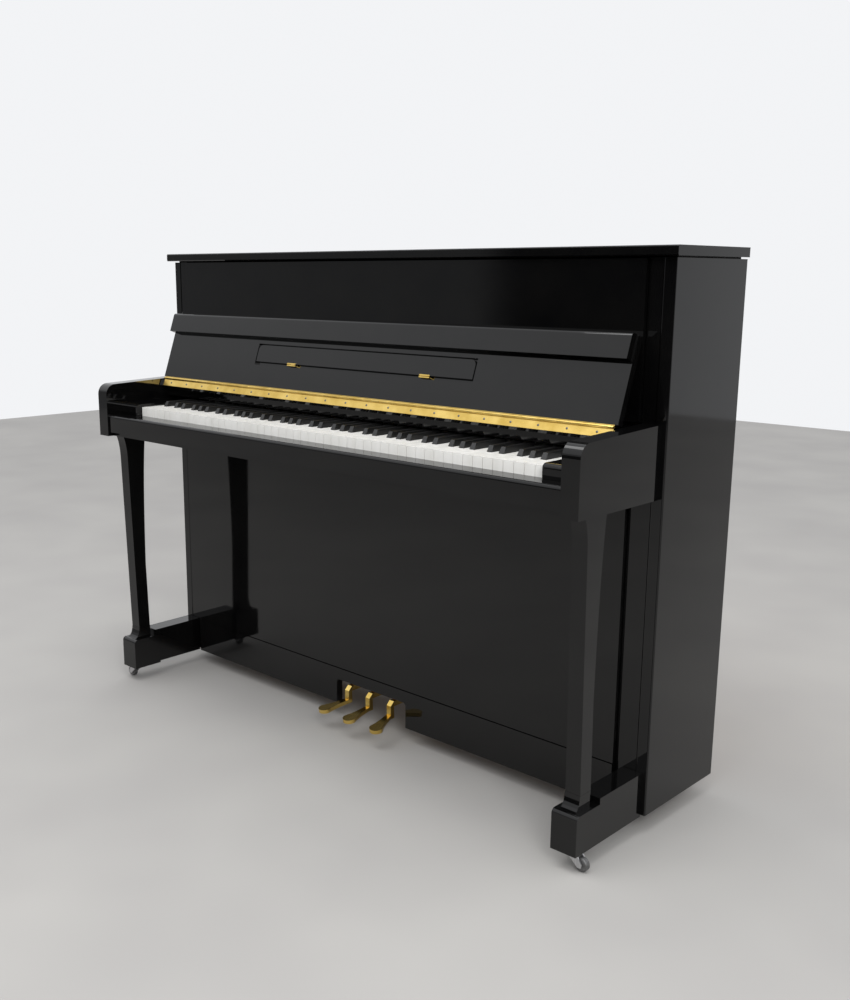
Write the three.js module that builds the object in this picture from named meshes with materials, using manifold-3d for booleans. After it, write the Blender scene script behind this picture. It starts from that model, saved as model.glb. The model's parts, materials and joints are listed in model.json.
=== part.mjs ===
// Polished black upright piano, 1480 wide, 516 deep and 1106 high.
// Millimetres, +X to the treble side, +Y to the back, +Z up.
// The origin is on the floor, under the middle of the case.

import * as THREE from 'three';
import { mergeVertices } from 'three/addons/utils/BufferGeometryUtils.js';
import Module from 'manifold-3d';

const wasm = await Module();
wasm.setup();

// ---------------------------------------------------------------- driving sizes

const WIDTH = 1480;
const DEPTH = 516;
const HEIGHT = 1106;
const CASE_LIFT = 16; // the case is drawn this far down, then stood on its wheels
const CASE_HEIGHT = HEIGHT - CASE_LIFT;
const GAP = 0.3; // left between neighbours that touch

const FLOOR_CLEARANCE = 24; // under the side boards
const BACK = DEPTH / 2;
const FRONT = -DEPTH / 2; // front of the arms

const LID_THICKNESS = 18;
const LID_SIDE_OVERHANG = 11;
const LID_FRONT_OVERHANG = 16;
const LID_BACK_SETBACK = 14;
const LID_LIFT = 3; // felt buttons hold the lid this far off the side boards

const SIDE_THICKNESS = 25;
const SIDE_OUTER = WIDTH / 2 - LID_SIDE_OVERHANG;
const SIDE_INNER = SIDE_OUTER - SIDE_THICKNESS;
const SIDE_TOP = CASE_HEIGHT - LID_THICKNESS - LID_LIFT;

const ARM_REACH = 254; // arms in front of the side boards
const ARM_THICKNESS = 37;
const ARM_OUTER = SIDE_OUTER - 10;
const ARM_INNER = ARM_OUTER - ARM_THICKNESS;
const ARM_BOTTOM = 642;
const ARM_TOP_FRONT = 771;
const ARM_TOP_BACK = 779;
const ARM_CORNER_RADIUS = 26;
const CASE_FRONT = FRONT + ARM_REACH; // front edges of the side boards

const LEG_BACK = CASE_FRONT - 161; // back of the leg's foot

const STILE_DEPTH = 26;
const UPPER_STILE_WIDTH = 27;
const LOWER_STILE_WIDTH = 44;
const BOARD = 18; // thickness of the front panels

const KEY_BED_TOP = 664;
const KEY_PITCH = 23.55;
const NATURALS = 52;
const KEY_GAP = 1;
const KEY_TOP = 716;
const KEY_HEIGHT = 24;
const KEY_UNDER = KEY_TOP - KEY_HEIGHT;
const KEY_FRONT = CASE_FRONT - 198;
const BALANCE_Y = KEY_FRONT + 200; // the keys rock on the balance rail
const SLIP_TOP = 695.5;
const SLIP_BACK = KEY_FRONT - 3;
const HEAD_LENGTH = 50;
const SHARP_WIDTH = 11.6;
const SHARP_SLOT = 14.2;
const SHARP_RISE = 12;
const SHARP_UNDER = KEY_TOP - 18; // clears the tie under the naturals when they are played
const SHARP_LENGTH = 96;
const NATURAL_END = CASE_FRONT + 85;
const SHARP_END = CASE_FRONT + 92;
const KEY_HALF_SPAN = (NATURALS * KEY_PITCH) / 2;

const FALLBOARD_HINGE_Y = CASE_FRONT - 84;
const FALLBOARD_HINGE_Z = 778;
const NOSE_TOP_Y = FALLBOARD_HINGE_Y + 1; // sloped nose of the rail under the hinge
const NOSE_RUN = 6.3;
const NOSE_DROP = 14;
const FALLBOARD_LEAN = THREE.MathUtils.degToRad(19.4);
const FALLBOARD_LENGTH = 168;
const FALLBOARD_THICKNESS = 15;
const FALLBOARD_HALF = ARM_INNER - 4;
const LIP_HEIGHT = 48;
const LIP_THICKNESS = 18;
const SHELF_HALF = 331;
const SHELF_BOTTOM = 64;
const SHELF_HEIGHT = 40;
const SHELF_THICKNESS = 7;

const RAIL_TOP = 112; // upper edge of the bottom rail
const PEDAL_SPACING = 69;
const PEDAL_TOP = 46; // top of the tongue where it leaves the neck
const PEDAL_LEVER_Z = 72;
const PEDAL_PIVOT_Y = CASE_FRONT + 130;
const NOTCH_HALF = 113; // the pedals come out through this notch in the bottom rail
const NOTCH_TOP = 84;

const TOE_BOTTOM = 20;
const CASTER_X = ARM_OUTER - 22; // axis that the fork swivels on
const CASTER_Y = CASE_FRONT - 192;
const CASTER_TRAIL = 20; // the wheel runs this far outside the swivel axis
const CASTER_STEM_TOP = 46;
const CASTER_STEM_RADIUS = 5;
const CASTER_WHEEL_RADIUS = 14;
const REAR_WHEEL_X = 500;
const REAR_WHEEL_RADIUS = 33;

const STRING_Y = CASE_FRONT + 142;
const PLATE_Y = CASE_FRONT + 154;
const PLATE_THICKNESS = 12;
const SOUNDBOARD_Y = CASE_FRONT + 180;
const SOUNDBOARD_THICKNESS = 8;
const POST_FRONT = CASE_FRONT + 207;

// ---------------------------------------------------------------- materials

function material(colour, roughness, metalness) {
  return new THREE.MeshStandardMaterial({ color: colour, roughness, metalness });
}

const lacquer = () => material(0x050505, 0.06, 0);
const keyWhite = () => material(0xf2f0ea, 0.25, 0);
const keyBlack = () => material(0x0b0b0b, 0.45, 0);
const brass = () => material(0xc9982f, 0.22, 1);
const castIron = () => material(0x9a7428, 0.45, 0.6);
const spruce = () => material(0xc79a5c, 0.6, 0);
const beech = () => material(0xb98a58, 0.6, 0);
const steel = () => material(0xb9bcc0, 0.3, 1);
const felt = () => material(0xe6e2d8, 0.95, 0);
const blackFelt = () => material(0x161616, 0.95, 0);

// ---------------------------------------------------------------- scene graph helpers

const piano = new THREE.Group();

function add(name, geometry, meshMaterial) {
  geometry.translate(0, 0, CASE_LIFT);
  const mesh = new THREE.Mesh(geometry, meshMaterial);
  mesh.name = name;
  piano.add(mesh);
  return mesh;
}

function block(x0, x1, y0, y1, z0, z1) {
  const geometry = new THREE.BoxGeometry(x1 - x0, y1 - y0, z1 - z0);
  geometry.translate((x0 + x1) / 2, (y0 + y1) / 2, (z0 + z1) / 2);
  return geometry;
}

function outline(points) {
  return new THREE.Shape(points.map(([a, b]) => new THREE.Vector2(a, b)));
}

function extrude(shape, length, basisX, basisY, basisZ, segments = 6) {
  const geometry = new THREE.ExtrudeGeometry(shape, {
    depth: length,
    bevelEnabled: false,
    curveSegments: segments,
  });
  geometry.applyMatrix4(new THREE.Matrix4().makeBasis(basisX, basisY, basisZ));
  return geometry;
}

const AXIS_X = new THREE.Vector3(1, 0, 0);
const AXIS_Y = new THREE.Vector3(0, 1, 0);
const AXIS_Z = new THREE.Vector3(0, 0, 1);

// A (y, z) section run from x0 to x1.
function alongX(section, x0, x1, segments) {
  const geometry = extrude(section, x1 - x0, AXIS_Y, AXIS_Z, AXIS_X, segments);
  return geometry.translate(x0, 0, 0);
}

// An (x, y) section run from z0 to z1.
function alongZ(section, z0, z1, segments) {
  const geometry = extrude(section, z1 - z0, AXIS_X, AXIS_Y, AXIS_Z, segments);
  return geometry.translate(0, 0, z0);
}

// An (x, z) section run from y0 back to y1.
function alongY(section, y0, y1, segments) {
  const geometry = extrude(section, y1 - y0, AXIS_X, AXIS_Z, AXIS_Y.clone().negate(), segments);
  return geometry.translate(0, y1, 0);
}

function toManifold(geometry) {
  const bare = geometry.clone();
  bare.deleteAttribute('normal');
  bare.deleteAttribute('uv');
  const merged = mergeVertices(bare, 1e-4);
  return new wasm.Manifold(new wasm.Mesh({
    numProp: 3,
    vertProperties: new Float32Array(merged.attributes.position.array),
    triVerts: new Uint32Array(merged.index.array),
  }));
}

function fromManifold(solid) {
  const mesh = solid.getMesh();
  const geometry = new THREE.BufferGeometry();
  geometry.setAttribute('position', new THREE.BufferAttribute(mesh.vertProperties, 3));
  geometry.setIndex(new THREE.BufferAttribute(mesh.triVerts, 1));
  geometry.computeVertexNormals();
  return geometry;
}

function join(geometries) {
  return fromManifold(geometries.map(toManifold).reduce((sum, next) => sum.add(next)));
}

function cut(geometry, cutters) {
  const solid = toManifold(geometry);
  return fromManifold(cutters.map(toManifold).reduce((rest, next) => rest.subtract(next), solid));
}

function cylinderAlongX(radius, x0, x1, y, z, sides) {
  const geometry = new THREE.CylinderGeometry(radius, radius, x1 - x0, sides);
  geometry.rotateZ(Math.PI / 2);
  return geometry.translate((x0 + x1) / 2, y, z);
}

function cylinderAlongZ(radius, x, y, z0, z1, sides) {
  const geometry = new THREE.CylinderGeometry(radius, radius, z1 - z0, sides);
  geometry.rotateX(Math.PI / 2);
  return geometry.translate(x, y, (z0 + z1) / 2);
}

// The same piece on the bass side (-1) and the treble side (+1).
function onBothSides(make) {
  make('left', -1);
  make('right', 1);
}

function spanOnSide(side, inner, outer) {
  return side < 0 ? [-outer, -inner] : [inner, outer];
}

// ---------------------------------------------------------------- case

function makeSideBoards() {
  const nose = 3; // radius of the front edges
  onBothSides((word, side) => {
    const [x0, x1] = spanOnSide(side, SIDE_INNER, SIDE_OUTER);
    const section = new THREE.Shape();
    section.moveTo(x1, BACK);
    section.lineTo(x0, BACK);
    section.lineTo(x0, CASE_FRONT + nose);
    section.absarc(x0 + nose, CASE_FRONT + nose, nose, Math.PI, 1.5 * Math.PI);
    section.absarc(x1 - nose, CASE_FRONT + nose, nose, 1.5 * Math.PI, 2 * Math.PI);
    section.closePath();
    add(`side_board_${word}`, alongZ(section, FLOOR_CLEARANCE, SIDE_TOP, 3), lacquer());
  });
}

// The posts inside the side boards: narrow beside the upper panel, wide beside the lower one.
function makeStiles() {
  const back = CASE_FRONT + STILE_DEPTH;
  onBothSides((word, side) => {
    const outer = SIDE_INNER - GAP;
    const section = outline([
      [side * outer, FLOOR_CLEARANCE],
      [side * outer, SIDE_TOP],
      [side * (outer - UPPER_STILE_WIDTH), SIDE_TOP],
      [side * (outer - UPPER_STILE_WIDTH), ARM_BOTTOM - GAP],
      [side * (outer - LOWER_STILE_WIDTH), ARM_BOTTOM - GAP],
      [side * (outer - LOWER_STILE_WIDTH), FLOOR_CLEARANCE],
    ]);
    add(`stile_${word}`, alongY(section, CASE_FRONT + 1, back), lacquer());
  });
}

function makeArms() {
  const front = CASE_FRONT - ARM_REACH;
  const back = CASE_FRONT - GAP;
  const radius = ARM_CORNER_RADIUS;
  const slope = Math.atan2(ARM_TOP_BACK - ARM_TOP_FRONT, back - front - radius);
  onBothSides((word, side) => {
    const [x0, x1] = spanOnSide(side, ARM_INNER, ARM_OUTER);
    const section = new THREE.Shape();
    section.moveTo(front, ARM_BOTTOM);
    section.lineTo(back, ARM_BOTTOM);
    section.lineTo(back, ARM_TOP_BACK);
    section.absarc(front + radius, ARM_TOP_FRONT - radius, radius, Math.PI / 2 + slope, Math.PI);
    section.closePath();
    add(`arm_${word}`, alongX(section, x0, x1, 8), lacquer());
  });
}

// Legs lean back a little towards the floor and flare out into the arm above.
function makeLegs() {
  const outer = ARM_OUTER - 11;
  const inner = outer - 32;
  const top = ARM_BOTTOM - GAP;
  const foot = 128;
  const frontTop = CASE_FRONT - 210;
  const frontFoot = CASE_FRONT - 194;
  const backTop = CASE_FRONT - 150;
  const backMiddle = CASE_FRONT - 160;
  const backFoot = LEG_BACK;
  onBothSides((word, side) => {
    const [x0, x1] = spanOnSide(side, inner, outer);
    const section = new THREE.Shape();
    section.moveTo(frontFoot, foot);
    section.lineTo(backFoot, foot);
    section.lineTo(backFoot - 4, 300);
    section.quadraticCurveTo(backMiddle - 2, 540, backTop, top);
    section.lineTo(frontTop - 6, top);
    section.quadraticCurveTo(frontTop + 4, top - 24, frontTop + 5, top - 60);
    section.closePath();
    add(`leg_${word}`, alongX(section, x0, x1, 8), lacquer());
  });
}

// Each toe is one piece: a block with a moulded top under the leg and a rail back to the case.
function makeToes() {
  const bottom = TOE_BOTTOM;
  const front = CASE_FRONT - 218;
  const blockBack = CASE_FRONT - 140;
  const ledge = 98;
  const top = 128 - GAP;
  const railTop = 110;
  const inset = 11;
  const outer = ARM_OUTER;
  const inner = outer - 55;
  onBothSides((word, side) => {
    const [x0, x1] = spanOnSide(side, inner, outer);
    const [n0, n1] = spanOnSide(side, inner + inset, outer - inset);
    const base = new THREE.Shape();
    base.moveTo(front, bottom);
    base.lineTo(blockBack, bottom);
    base.lineTo(blockBack, ledge);
    base.lineTo(front + 9, ledge);
    base.absarc(front + 9, ledge - 9, 9, Math.PI / 2, Math.PI);
    base.closePath();
    const neck = new THREE.Shape();
    neck.moveTo(front + 9, ledge - 5);
    neck.lineTo(LEG_BACK, ledge - 5);
    neck.lineTo(LEG_BACK, top);
    neck.lineTo(front + 24, top);
    neck.quadraticCurveTo(front + 22, ledge + 4, front + 9, ledge);
    neck.closePath();
    const [r0, r1] = spanOnSide(side, inner + inset, outer);
    const rail = block(r0, r1, blockBack - 5, CASE_FRONT - GAP, bottom, railTop);
    const x = side * CASTER_X;
    const recess = cylinderAlongZ(CASTER_STEM_RADIUS + GAP, x, CASTER_Y, 0, CASTER_STEM_TOP, 16);
    const toe = join([alongX(base, x0, x1, 5), alongX(neck, n0, n1, 5), rail]);
    add(`toe_${word}`, cut(toe, [recess]), lacquer());
  });
}

function makeFrontPanels() {
  const upperHalf = SIDE_INNER - UPPER_STILE_WIDTH - 2;
  const upperFace = CASE_FRONT - 7.5;
  const upper = block(
    -upperHalf, upperHalf, upperFace, upperFace + BOARD, FALLBOARD_HINGE_Z + 2, SIDE_TOP - 1,
  );
  add('upper_panel', upper, lacquer());
  const lowerHalf = SIDE_INNER - LOWER_STILE_WIDTH - 2;
  const lowerFace = CASE_FRONT - 9;
  const lower = block(-lowerHalf, lowerHalf, lowerFace, lowerFace + BOARD, RAIL_TOP + 1.5, ARM_BOTTOM - 1);
  add('lower_panel', lower, lacquer());
}

// The pedals stand out through a notch in the lower edge of the bottom rail.
function makeBottomRail() {
  const half = SIDE_INNER - LOWER_STILE_WIDTH - 2;
  const face = CASE_FRONT - 11;
  const notch = NOTCH_HALF;
  const corner = 8;
  const section = new THREE.Shape();
  section.moveTo(-half, FLOOR_CLEARANCE);
  section.lineTo(-notch, FLOOR_CLEARANCE);
  section.lineTo(-notch, NOTCH_TOP - corner);
  section.absarc(-notch + corner, NOTCH_TOP - corner, corner, Math.PI, Math.PI / 2, true);
  section.absarc(notch - corner, NOTCH_TOP - corner, corner, Math.PI / 2, 0, true);
  section.lineTo(notch, FLOOR_CLEARANCE);
  section.lineTo(half, FLOOR_CLEARANCE);
  section.lineTo(half, RAIL_TOP);
  section.lineTo(-half, RAIL_TOP);
  section.closePath();
  add('bottom_rail', alongY(section, face, face + BOARD, 4), lacquer());
}

function makeBottomBoard() {
  const half = SIDE_INNER - LOWER_STILE_WIDTH - 2;
  const board = block(-half, half, CASE_FRONT + 9 + GAP, CASE_FRONT + 150, 92, 110);
  add('bottom_board', board, beech());
}

// The key bed fills the space between the arms and narrows to pass between the stiles.
function makeKeyBed() {
  const front = CASE_FRONT - 238;
  const back = NATURAL_END + 6;
  const half = ARM_INNER - GAP;
  const narrow = SIDE_INNER - UPPER_STILE_WIDTH - 2 * GAP;
  const section = outline([
    [-half, front],
    [half, front],
    [half, CASE_FRONT - GAP],
    [narrow, CASE_FRONT - GAP],
    [narrow, back],
    [-narrow, back],
    [-narrow, CASE_FRONT - GAP],
    [-half, CASE_FRONT - GAP],
  ]);
  add('key_bed', alongZ(section, ARM_BOTTOM, KEY_BED_TOP), lacquer());
}

// The slip closes the front of the keyboard; its flat top runs back to the keys.
function makeKeySlip() {
  const half = ARM_INNER - GAP;
  const front = CASE_FRONT - 250;
  const back = SLIP_BACK;
  const top = SLIP_TOP;
  const step = 11.7; // the slip hangs this far down over the front of the key bed
  const radius = 7;
  const section = new THREE.Shape();
  section.moveTo(front, KEY_BED_TOP - 12);
  section.lineTo(front + step, KEY_BED_TOP - 12);
  section.lineTo(front + step, KEY_BED_TOP + GAP);
  section.lineTo(back, KEY_BED_TOP + GAP);
  section.absarc(back - radius / 3, top - radius / 3, radius / 3, 0, Math.PI / 2);
  section.absarc(front + radius, top - radius, radius, Math.PI / 2, Math.PI);
  section.closePath();
  add('key_slip', alongX(section, -half, half, 5), lacquer());
}

// Front, balance and back rails under the keys, tied together at the ends and the middle.
function makeKeyFrame() {
  const half = KEY_HALF_SPAN - 2;
  const bottom = KEY_BED_TOP + GAP;
  const front = block(-half, half, KEY_FRONT + 12, KEY_FRONT + 42, bottom, 680);
  const balance = block(-half, half, BALANCE_Y - 9, BALANCE_Y + 9, bottom, KEY_UNDER - 1.5);
  const rear = block(-half, half, NATURAL_END - 34, NATURAL_END, bottom, KEY_UNDER - 6);
  const ties = [-1, 0, 1].map((step) => {
    const x = step * (half - 20);
    return block(x - 20, x + 20, KEY_FRONT + 14, NATURAL_END - 2, bottom, 676);
  });
  add('key_frame', join([front, balance, rear, ...ties]), beech());
}

function makeKeyBlocks() {
  const front = CASE_FRONT - 212;
  const back = CASE_FRONT - 100;
  const top = KEY_TOP + 7;
  const radius = 9;
  onBothSides((word, side) => {
    const [x0, x1] = spanOnSide(side, KEY_HALF_SPAN + 1.5, ARM_INNER - GAP);
    const section = new THREE.Shape();
    section.moveTo(front, SLIP_TOP + GAP);
    section.lineTo(SLIP_BACK + GAP, SLIP_TOP + GAP);
    section.lineTo(SLIP_BACK + GAP, KEY_BED_TOP + GAP);
    section.lineTo(back, KEY_BED_TOP + GAP);
    section.lineTo(back, top);
    section.absarc(front + radius, top - radius, radius, Math.PI / 2, Math.PI);
    section.closePath();
    add(`key_block_${word}`, alongX(section, x0, x1, 5), lacquer());
  });
}

// The rail over the backs of the keys. Its sloped nose carries the long fallboard hinge.
function makeHingeRail() {
  const half = ARM_INNER - GAP;
  const under = KEY_TOP + SHARP_RISE + 5;
  const top = FALLBOARD_HINGE_Z - 5;
  const back = CASE_FRONT - 12;
  const section = outline([
    [NOSE_TOP_Y, top],
    [NOSE_TOP_Y - NOSE_RUN, top - NOSE_DROP],
    [NOSE_TOP_Y - NOSE_RUN + 3, top - NOSE_DROP - 6],
    [NOSE_TOP_Y + 12, top - NOSE_DROP - 6],
    [NOSE_TOP_Y + 12, under],
    [back, under],
    [back, top],
  ]);
  add('hinge_rail', alongX(section, -half, half), lacquer());
}

// ---------------------------------------------------------------- lid and fallboard

function makeLid() {
  const back = BACK - LID_BACK_SETBACK;
  const front = CASE_FRONT - LID_FRONT_OVERHANG;
  const underside = CASE_HEIGHT - LID_THICKNESS;
  const edge = 2;
  const section = outline([
    [front, underside + edge],
    [front + edge, underside],
    [back, underside],
    [back, CASE_HEIGHT],
    [front + edge, CASE_HEIGHT],
    [front, CASE_HEIGHT - edge],
  ]);
  add('lid', alongX(section, -WIDTH / 2, WIDTH / 2), lacquer());
}

// Fallboard pieces are drawn upright, with the hinge pin at the origin and the player's side
// towards -Y, then leaned back and moved to the pin.
function placeOnFallboard(geometry) {
  geometry.rotateX(-FALLBOARD_LEAN);
  return geometry.translate(0, FALLBOARD_HINGE_Y, FALLBOARD_HINGE_Z);
}

const FALLBOARD_FACE = 1.5; // the player's face stands this far behind the pin
const LIP_PIN = FALLBOARD_LENGTH - 2;

function makeFallboard() {
  const face = FALLBOARD_FACE;
  const back = face + FALLBOARD_THICKNESS;
  const section = outline([
    [face, 5],
    [back, 5],
    [back, FALLBOARD_LENGTH - 3],
    [back - 3, FALLBOARD_LENGTH],
    [face, FALLBOARD_LENGTH],
  ]);
  const board = alongX(section, -FALLBOARD_HALF, FALLBOARD_HALF);
  const recess = block(
    -SHELF_HALF - 3, SHELF_HALF + 3, -5, face + SHELF_THICKNESS + 1,
    SHELF_BOTTOM - 8, SHELF_BOTTOM + SHELF_HEIGHT + 3,
  );
  add('fallboard', placeOnFallboard(cut(board, [recess])), lacquer());
}

// The lip lies folded on the face of the open fallboard and hangs from its edge when closed.
function makeLip() {
  const face = FALLBOARD_FACE - GAP;
  const front = face - LIP_THICKNESS;
  const top = FALLBOARD_LENGTH;
  const bottom = top - LIP_HEIGHT;
  const radius = 7;
  const half = FALLBOARD_HALF - 2;
  const section = new THREE.Shape();
  section.moveTo(front, bottom);
  section.lineTo(face, bottom);
  section.lineTo(face, top);
  section.absarc(front + radius, top - radius, radius, Math.PI / 2, Math.PI);
  section.closePath();
  add('fallboard_lip', placeOnFallboard(alongX(section, -half, half, 5)), lacquer());
}

function makeMusicShelf() {
  const face = FALLBOARD_FACE;
  const radius = 12;
  const top = SHELF_BOTTOM + SHELF_HEIGHT;
  const section = new THREE.Shape();
  section.moveTo(-SHELF_HALF, SHELF_BOTTOM);
  section.lineTo(SHELF_HALF, SHELF_BOTTOM);
  section.absarc(SHELF_HALF - radius, top - radius, radius, 0, Math.PI / 2);
  section.absarc(-SHELF_HALF + radius, top - radius, radius, Math.PI / 2, Math.PI);
  section.closePath();
  const shelf = alongY(section, face, face + SHELF_THICKNESS, 5);
  add('music_shelf', placeOnFallboard(shelf), lacquer());
}

// One long hinge in two leaves; the knuckle belongs to the lower leaf, which lies on the nose
// of the hinge rail. The upper leaf is under the board's edge.
function makeLongHinge() {
  const half = FALLBOARD_HALF - 6;
  const thickness = 1.5;
  const nose = Math.atan2(NOSE_RUN, NOSE_DROP);
  const pin = cylinderAlongX(3, -half, half, FALLBOARD_HINGE_Y, FALLBOARD_HINGE_Z, 10);
  const lower = block(-half, half, -GAP - thickness, -GAP, -Math.hypot(NOSE_RUN, NOSE_DROP), 3);
  lower.rotateX(-nose);
  lower.translate(0, NOSE_TOP_Y, FALLBOARD_HINGE_Z - 5);
  add('hinge_lower_leaf', join([pin, lower]), brass());
  const upper = block(-half, half, FALLBOARD_FACE, FALLBOARD_FACE + FALLBOARD_THICKNESS, 3.4, 4.7);
  add('hinge_upper_leaf', placeOnFallboard(upper), brass());
}

// ---------------------------------------------------------------- keys

const NATURAL_NAMES = ['c', 'd', 'e', 'f', 'g', 'a', 'b'];
const SHARP_AFTER = { c: -2.4, d: 2.4, f: -3, g: 0, a: 3 }; // offset from the joint between naturals

// The keyboard runs from A0 to C8; a natural's index counts from the lowest one.
function naturalName(index) {
  const fromC = index + 5;
  return { letter: NATURAL_NAMES[fromC % 7], octave: Math.floor(fromC / 7) };
}

function sharpCentre(index) {
  const { letter } = naturalName(index);
  const last = index === NATURALS - 1;
  if (last || !(letter in SHARP_AFTER)) {
    return null;
  }
  return -KEY_HALF_SPAN + (index + 1) * KEY_PITCH + SHARP_AFTER[letter];
}

function naturalGeometry(index) {
  const x0 = -KEY_HALF_SPAN + index * KEY_PITCH + KEY_GAP / 2;
  const x1 = x0 + KEY_PITCH - KEY_GAP;
  const below = index > 0 ? sharpCentre(index - 1) : null;
  const above = sharpCentre(index);
  const tail0 = below === null ? x0 : below + SHARP_SLOT / 2;
  const tail1 = above === null ? x1 : above - SHARP_SLOT / 2;
  const step = KEY_FRONT + HEAD_LENGTH;
  const section = outline([
    [x0, KEY_FRONT],
    [x1, KEY_FRONT],
    [x1, above === null ? NATURAL_END : step],
    [tail1, above === null ? NATURAL_END : step],
    [tail1, NATURAL_END],
    [tail0, NATURAL_END],
    [tail0, below === null ? NATURAL_END : step],
    [x0, below === null ? NATURAL_END : step],
  ].filter(([x, y], i, all) => {
    const [px, py] = all[(i + all.length - 1) % all.length];
    return x !== px || y !== py;
  }));
  return alongZ(section, KEY_TOP - KEY_HEIGHT, KEY_TOP);
}

// A sharp is a tapered, sloped block on a body that runs back between the naturals' tails.
function sharpGeometry(index) {
  const centre = sharpCentre(index);
  const half = SHARP_WIDTH / 2;
  const front = KEY_FRONT + HEAD_LENGTH + 1.6;
  const top = KEY_TOP + SHARP_RISE;
  const section = outline([
    [front, SHARP_UNDER],
    [SHARP_END, SHARP_UNDER],
    [SHARP_END, KEY_TOP - 1],
    [front + SHARP_LENGTH, KEY_TOP - 1],
    [front + SHARP_LENGTH, top],
    [front + 7, top],
    [front, KEY_TOP + 1],
  ]);
  const geometry = alongX(section, -half, half);
  const position = geometry.attributes.position;
  for (let i = 0; i < position.count; i += 1) {
    if (position.getZ(i) > KEY_TOP + SHARP_RISE / 2) {
      position.setX(i, position.getX(i) * 0.82);
    }
  }
  return geometry.translate(centre, 0, 0);
}

// The octave from middle C up has a node for every key. The keys on either side of it are
// joined under their hidden ends: naturals below the sharps, sharps behind the naturals.
function makeKeys() {
  const groups = { bass: { naturals: [], sharps: [] }, treble: { naturals: [], sharps: [] } };
  for (let index = 0; index < NATURALS; index += 1) {
    const { letter, octave } = naturalName(index);
    const hasSharp = sharpCentre(index) !== null;
    if (octave === 4) {
      add(`key_${letter}4`, naturalGeometry(index), keyWhite());
      if (hasSharp) {
        add(`key_${letter}_sharp4`, sharpGeometry(index), keyBlack());
      }
    } else {
      const group = octave < 4 ? groups.bass : groups.treble;
      group.naturals.push(index);
      if (hasSharp) {
        group.sharps.push(index);
      }
    }
  }
  Object.entries(groups).forEach(([word, { naturals, sharps }]) => {
    const naturalsFrom = -KEY_HALF_SPAN + naturals[0] * KEY_PITCH + KEY_GAP;
    const naturalsTo = -KEY_HALF_SPAN + (naturals.at(-1) + 1) * KEY_PITCH - KEY_GAP;
    const under = KEY_TOP - KEY_HEIGHT;
    const tie = block(naturalsFrom, naturalsTo, NATURAL_END - 30, NATURAL_END - 5, under - 5, under + 0.5);
    add(`naturals_${word}`, join([tie, ...naturals.map(naturalGeometry)]), keyWhite());
    const sharpsFrom = sharpCentre(sharps[0]) - SHARP_WIDTH / 2;
    const sharpsTo = sharpCentre(sharps.at(-1)) + SHARP_WIDTH / 2;
    const yoke = block(
      sharpsFrom, sharpsTo, SHARP_END - 0.5, SHARP_END + 20, SHARP_UNDER, KEY_TOP - 1,
    );
    add(`sharps_${word}`, join([yoke, ...sharps.map(sharpGeometry)]), keyBlack());
  });
}

// ---------------------------------------------------------------- action

const HAMMERS = 88;
const HAMMER_Z = 850;
const HAMMER_Y = CASE_FRONT + 56;
const NOTE_PITCH = (KEY_HALF_SPAN * 2 - 20) / HAMMERS;

function noteX(note) {
  return (note - (HAMMERS - 1) / 2) * NOTE_PITCH;
}

function makeHammers() {
  const railHalf = KEY_HALF_SPAN;
  const rail = block(-railHalf, railHalf, HAMMER_Y - 8, HAMMER_Y + 8, HAMMER_Z - 9, HAMMER_Z + 9);
  const section = outline([
    [HAMMER_Y - 3, HAMMER_Z],
    [HAMMER_Y + 3, HAMMER_Z],
    [HAMMER_Y + 3, HAMMER_Z + 96],
    [HAMMER_Y + 38, HAMMER_Z + 100],
    [HAMMER_Y + 38, HAMMER_Z + 106],
    [HAMMER_Y - 12, HAMMER_Z + 114],
    [HAMMER_Y - 12, HAMMER_Z + 96],
    [HAMMER_Y - 3, HAMMER_Z + 96],
  ]);
  const hammers = Array.from({ length: HAMMERS }, (_, note) => (
    alongX(section, noteX(note) - 4.5, noteX(note) + 4.5)
  ));
  add('hammers', join([rail, ...hammers]), felt());
}

function makeDampers() {
  const dampers = 66;
  const face = STRING_Y - 1.2;
  const half = KEY_HALF_SPAN;
  const rail = block(-half, noteX(dampers), face - 26, face - 18, 776, 790);
  const heads = Array.from({ length: dampers }, (_, note) => (
    block(noteX(note) - 3.5, noteX(note) + 3.5, face - 20, face, 788, 824)
  ));
  add('dampers', join([rail, ...heads]), felt());
}

// A rail with a felt curtain that drops between the hammers and the strings.
function makeMufflerRail() {
  const half = KEY_HALF_SPAN;
  const y = STRING_Y - 26;
  const rail = block(-half, half, y - 5, y + 5, 1022, 1034);
  const curtain = block(-half, half, y - 1, y + 1, 985, 1023);
  add('muffler_rail', join([rail, curtain]), blackFelt());
}

// Two cast brackets and a beam between them carry the action.
function makeActionFrame() {
  const back = CASE_FRONT + 40;
  const bracketX = KEY_HALF_SPAN + 8;
  const beam = block(-bracketX, bracketX, back - 18, back, 800, 822);
  const brackets = [-1, 1].map((side) => {
    const x = side * bracketX;
    return block(x - 5, x + 5, back - 22, back + 60, KEY_BED_TOP + GAP, 1012);
  });
  add('action_frame', join([beam, ...brackets]), steel());
}

// ---------------------------------------------------------------- strung back

function makeIronPlate() {
  const half = SIDE_INNER - 8;
  const bottom = 100;
  const top = 1040;
  const section = outline([
    [-half, bottom],
    [half, bottom],
    [half, top],
    [-half, top],
  ]);
  const struts = 5;
  const band = (half * 2 - 60) / (struts - 1);
  for (let i = 0; i < struts - 1; i += 1) {
    const x0 = -half + 30 + i * band + 18;
    const x1 = x0 + band - 36;
    const low = bottom + 90 + i * 40;
    section.holes.push(new THREE.Path([
      new THREE.Vector2(x0, low),
      new THREE.Vector2(x0, top - 190),
      new THREE.Vector2(x1, top - 190),
      new THREE.Vector2(x1, low + 40),
    ]));
  }
  add('iron_plate', alongY(section, PLATE_Y, PLATE_Y + PLATE_THICKNESS), castIron());
}

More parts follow.
